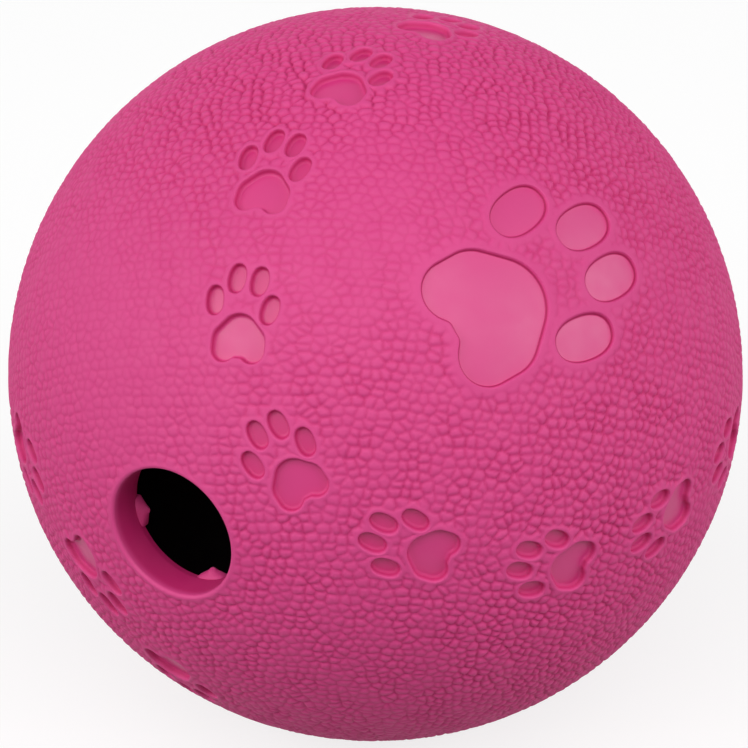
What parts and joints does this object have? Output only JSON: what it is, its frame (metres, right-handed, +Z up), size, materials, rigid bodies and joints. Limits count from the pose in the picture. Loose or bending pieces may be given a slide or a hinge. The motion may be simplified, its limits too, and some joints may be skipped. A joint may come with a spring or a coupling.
{
  "type": "treat dispensing ball",
  "caption": "Hollow rubber treat ball with a trail of pressed paw prints, one round toothed mouth, and a labyrinth inside.",
  "frame": {"origin": "centre of the ball", "axes": "-Y out of the mouth along its axis, +Z up, as the ball lies in the picture"},
  "size_m": [0.09, 0.0892, 0.09],
  "materials": {
    "shell_rubber": "satin moulded rubber with a fine pebbled skin",
    "inner_rubber": "smooth dark moulded rubber"
  },
  "bodies": {
    "root": {"mouth_half_shell": "shell_rubber", "rear_half_shell": "shell_rubber", "labyrinth_hoop": "inner_rubber", "mouth_side_deck": "inner_rubber", "rear_side_deck": "inner_rubber", "centre_post": "inner_rubber", "inner_baffle_1": "inner_rubber", "inner_baffle_2": "inner_rubber", "outer_baffle_1": "inner_rubber", "outer_baffle_2": "inner_rubber"}
  },
  "joints": []
}
